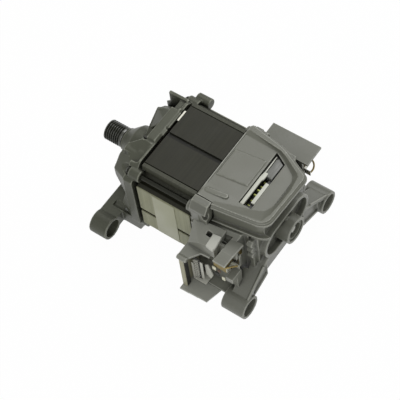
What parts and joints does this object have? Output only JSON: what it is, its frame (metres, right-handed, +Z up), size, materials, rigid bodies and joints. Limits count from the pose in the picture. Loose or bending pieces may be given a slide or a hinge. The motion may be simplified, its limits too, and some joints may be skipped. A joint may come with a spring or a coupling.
{
  "type": "washing machine drive motor",
  "caption": "Brushed universal motor with a ribbed belt pulley, square lamination pack, cast end shields with mounting lugs and a dished hood over the commutator.",
  "frame": {"origin": "on the shaft axis at the middle of the belt pulley", "axes": "+X along the shaft from the pulley to the brush end, +Z up, the lugs below the shaft"},
  "size_m": [0.211, 0.1625, 0.114],
  "materials": {
    "cast_alloy": "as die-cast, dull grey",
    "moulded_grey": "moulded, satin",
    "lamination": "varnished edges of laminations",
    "coil_enamel": "varnished copper wire",
    "insulator": "moulded, cream",
    "zinc_steel": "dark zinc plate",
    "pulley_steel": "turned, oiled",
    "shaft_steel": "ground",
    "bearing_steel": "polished",
    "fan_plastic": "moulded, ivory",
    "slot_paper": "pressed fibre",
    "comm_resin": "moulded resin",
    "copper": "turned copper",
    "magnet": "bonded ferrite",
    "sensor_black": "potted coil",
    "cream_plastic": "moulded, cream",
    "slate_plastic": "moulded, slate grey",
    "brass": "pressed sheet",
    "tinned": "tinned sheet",
    "carbon": "carbon brush",
    "spring_steel": "spring wire"
  },
  "bodies": {
    "frame": {"front_shield": "cast_alloy", "rear_shield": "cast_alloy", "hood": "moulded_grey", "stator_core": "lamination", "field_coil_upper": "coil_enamel", "field_coil_lower": "coil_enamel", "end_insulator_front": "insulator", "end_insulator_rear": "insulator", "stator_bolts": "zinc_steel", "preload_washer": "spring_steel", "front_bearing_outer": "bearing_steel", "rear_bearing_outer": "bearing_steel", "tacho_coil": "sensor_black", "terminal_block": "cream_plastic", "terminal_cover": "slate_plastic", "terminal_blades": "brass", "connector_housing": "moulded_grey", "contact_carrier": "cream_plastic", "contact_blades": "tinned", "splash_plate": "moulded_grey", "brush_guide_near": "brass", "brush_spring_near": "spring_steel", "brush_terminal_near": "tinned", "brush_housing_far": "moulded_grey", "brush_guide_far": "brass", "brush_spring_far": "spring_steel", "brush_terminal_far": "tinned"},
    "rotor": {"shaft": "shaft_steel", "pulley": "pulley_steel", "cooling_fan": "fan_plastic", "armature_core": "lamination", "armature_winding": "coil_enamel", "armature_end_discs": "slot_paper", "commutator_hub": "comm_resin", "commutator_bars": "copper", "front_bearing_inner": "bearing_steel", "front_bearing_balls": "bearing_steel", "rear_bearing_inner": "bearing_steel", "rear_bearing_balls": "bearing_steel", "tacho_magnet": "magnet"},
    "brush_near": {"carbon_brush_near": "carbon"},
    "brush_far": {"carbon_brush_far": "carbon"}
  },
  "joints": [
    {"name": "rotor_spin", "type": "hinge", "parent": "frame", "child": "rotor", "pos_m": [0, 0, 0], "axis": [1, 0, 0], "continuous": true},
    {"name": "brush_near_slide", "type": "slide", "parent": "frame", "child": "brush_near", "axis": [0, -1, 0], "range_m": [0, 0.008], "stiffness_N_per_m": 150, "springref_m": -0.02, "deforming": ["brush_spring_near"]},
    {"name": "brush_far_slide", "type": "slide", "parent": "frame", "child": "brush_far", "axis": [0, 1, 0], "range_m": [0, 0.008], "stiffness_N_per_m": 150, "springref_m": -0.02, "deforming": ["brush_spring_far"]}
  ]
}
